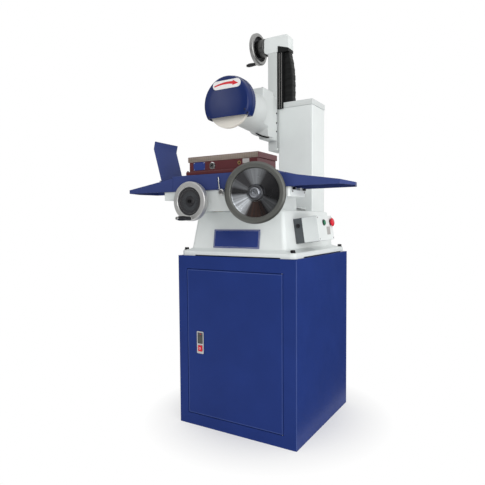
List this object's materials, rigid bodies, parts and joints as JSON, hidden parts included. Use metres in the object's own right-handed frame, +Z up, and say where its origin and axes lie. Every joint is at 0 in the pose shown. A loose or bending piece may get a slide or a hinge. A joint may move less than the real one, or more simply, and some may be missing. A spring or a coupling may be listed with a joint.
{
  "type": "surface grinder",
  "caption": "Manual surface grinder on a sheet-metal cabinet, with magnetic chuck, wheelhead, handwheels, working slides and a cabinet door.",
  "frame": {"origin": "middle of the cabinet's footprint, on the floor", "axes": "+X to the operator's right, along the table; +Y away from the operator; +Z up"},
  "size_m": [0.936, 0.7202, 1.6285],
  "materials": {
    "blue_enamel": "gloss blue enamel",
    "white_enamel": "gloss white enamel on castings",
    "maroon_enamel": "dark red enamel",
    "bright_steel": "turned and ground steel",
    "machined_iron": "machined iron",
    "black_plastic": "moulded black plastic",
    "black_rubber": "folded rubber",
    "bronze": "bronze",
    "abrasive": "white vitrified abrasive",
    "motor_winding": "wound copper and laminations",
    "green_button": "green plastic",
    "red_button": "red plastic"
  },
  "bodies": {
    "frame": {"cabinet_shell": "blue_enamel", "base_casting": "white_enamel", "nameplate": "blue_enamel", "column": "white_enamel", "column_cap": "white_enamel", "elevating_nut": "bronze", "control_box_back": "black_plastic", "control_box_cover": "white_enamel", "cross_feed_nut": "bronze", "way_cover": "black_rubber"},
    "door": {"cabinet_door": "blue_enamel", "latch_plate": "bright_steel"},
    "door_button": {"latch_button": "red_button"},
    "start": {"start_button": "green_button"},
    "stop": {"stop_button": "red_button"},
    "saddle": {"saddle": "white_enamel", "cross_feed_bearing": "white_enamel", "traverse_bearing": "white_enamel"},
    "lock_lever": {"table_lock_lever": "bright_steel"},
    "cross_wheel": {"cross_handwheel": "bright_steel", "cross_dial_face": "black_plastic", "cross_feed_screw": "bright_steel"},
    "cross_grip": {"cross_handle_grip": "black_plastic"},
    "traverse_wheel": {"traverse_handwheel": "machined_iron", "traverse_hub_nut": "bright_steel", "traverse_shaft": "bright_steel", "rack_pinion": "bright_steel"},
    "table": {"table": "blue_enamel", "left_wing": "blue_enamel", "right_wing": "blue_enamel", "table_rack": "machined_iron", "splash_plate": "blue_enamel", "chuck_base": "maroon_enamel", "chuck_body": "maroon_enamel", "chuck_top_plate": "bright_steel"},
    "chuck_key": {"chuck_key_socket": "bright_steel"},
    "head": {"head_slide": "white_enamel", "slide_way": "machined_iron", "way_strip": "black_rubber", "head_casting": "white_enamel", "front_bearing": "bright_steel", "motor_stator": "motor_winding", "rear_bearing": "bright_steel", "guard_rear_shell": "blue_enamel", "guard_front_cover": "blue_enamel", "gear_housing": "white_enamel"},
    "elevating_wheel": {"elevating_handwheel": "bright_steel", "elevating_shaft": "bright_steel", "elevating_dial": "bright_steel", "handwheel_bevel_gear": "bright_steel"},
    "elevating_grip": {"elevating_handle_grip": "black_plastic"},
    "lift_screw": {"elevating_screw": "bright_steel", "screw_bevel_gear": "bright_steel"},
    "spindle": {"spindle_shaft": "bright_steel", "motor_rotor": "machined_iron", "inner_flange": "bright_steel", "grinding_wheel": "abrasive", "outer_flange": "bright_steel", "wheel_nut": "bright_steel"}
  },
  "joints": [
    {"name": "door_hinge", "type": "hinge", "parent": "frame", "child": "door", "pos_m": [0.204, -0.2592, 0.337], "axis": [0, 0, 1], "range_deg": [0, 110]},
    {"name": "latch_press", "type": "slide", "parent": "door", "child": "door_button", "axis": [0, 1, 0], "range_m": [0, 0.002], "stiffness_N_per_m": 400},
    {"name": "start_press", "type": "slide", "parent": "frame", "child": "start", "axis": [-0.99, 0, -0.1409], "range_m": [0, 0.0025], "stiffness_N_per_m": 400},
    {"name": "stop_press", "type": "slide", "parent": "frame", "child": "stop", "axis": [-0.99, 0, -0.1409], "range_m": [0, 0.003], "stiffness_N_per_m": 500},
    {"name": "cross_wheel_turn", "type": "hinge", "parent": "saddle", "child": "cross_wheel", "pos_m": [-0.113, -0.38, 0.888], "axis": [0, 1, 0], "range_deg": [-7560, 3600]},
    {"name": "saddle_feed", "type": "slide", "parent": "frame", "child": "saddle", "axis": [0, 1, 0], "range_m": [-0.106, 0.051]},
    {"name": "cross_grip_spin", "type": "hinge", "parent": "cross_wheel", "child": "cross_grip", "pos_m": [-0.10647, -0.38, 0.82584], "axis": [0, -1, 0], "continuous": true},
    {"name": "traverse_wheel_turn", "type": "hinge", "parent": "saddle", "child": "traverse_wheel", "pos_m": [0.182, -0.412, 0.907], "axis": [-0.342, 0.9397, 0], "range_deg": [-838.4, 838.4]},
    {"name": "table_traverse", "type": "slide", "parent": "saddle", "child": "table", "axis": [1, 0, 0], "range_m": [-0.166, 0.166]},
    {"name": "lock_lever_turn", "type": "hinge", "parent": "saddle", "child": "lock_lever", "pos_m": [0.013, -0.3353, 0.918], "axis": [0, -1, 0], "range_deg": [-30, 30]},
    {"name": "chuck_key_turn", "type": "hinge", "parent": "table", "child": "chuck_key", "pos_m": [-0.041, -0.329, 1.0165], "axis": [0, -1, 0], "range_deg": [0, 180]},
    {"name": "elevating_wheel_turn", "type": "hinge", "parent": "head", "child": "elevating_wheel", "pos_m": [-0.09, 0.08, 1.562], "axis": [1, 0, 0], "range_deg": [-11520.01, 13680.01]},
    {"name": "head_lift", "type": "slide", "parent": "frame", "child": "head", "axis": [0, 0, 1], "range_m": [-0.096, 0.081], "deforming": ["way_cover"]},
    {"name": "lift_screw_turn", "type": "hinge", "parent": "head", "child": "lift_screw", "pos_m": [0.062, 0.08, 1.562], "axis": [0, 0, 1], "range_deg": [-13685.01, 11525.01]},
    {"name": "elevating_grip_spin", "type": "hinge", "parent": "elevating_wheel", "child": "elevating_grip", "pos_m": [-0.09, 0.08204, 1.50354], "axis": [-1, 0, 0], "continuous": true},
    {"name": "spindle_spin", "type": "hinge", "parent": "head", "child": "spindle", "pos_m": [0, -0.282, 1.245], "axis": [0, -1, 0], "continuous": true}
  ],
  "couplings": [
    {"joint": "saddle_feed", "follows": "cross_wheel_turn", "m_per_rad": 0.00079577},
    {"joint": "table_traverse", "follows": "traverse_wheel_turn", "m_per_rad": 0.011276},
    {"joint": "head_lift", "follows": "elevating_wheel_turn", "m_per_rad": -0.00039789},
    {"joint": "lift_screw_turn", "follows": "elevating_wheel_turn", "ratio": -1}
  ]
}
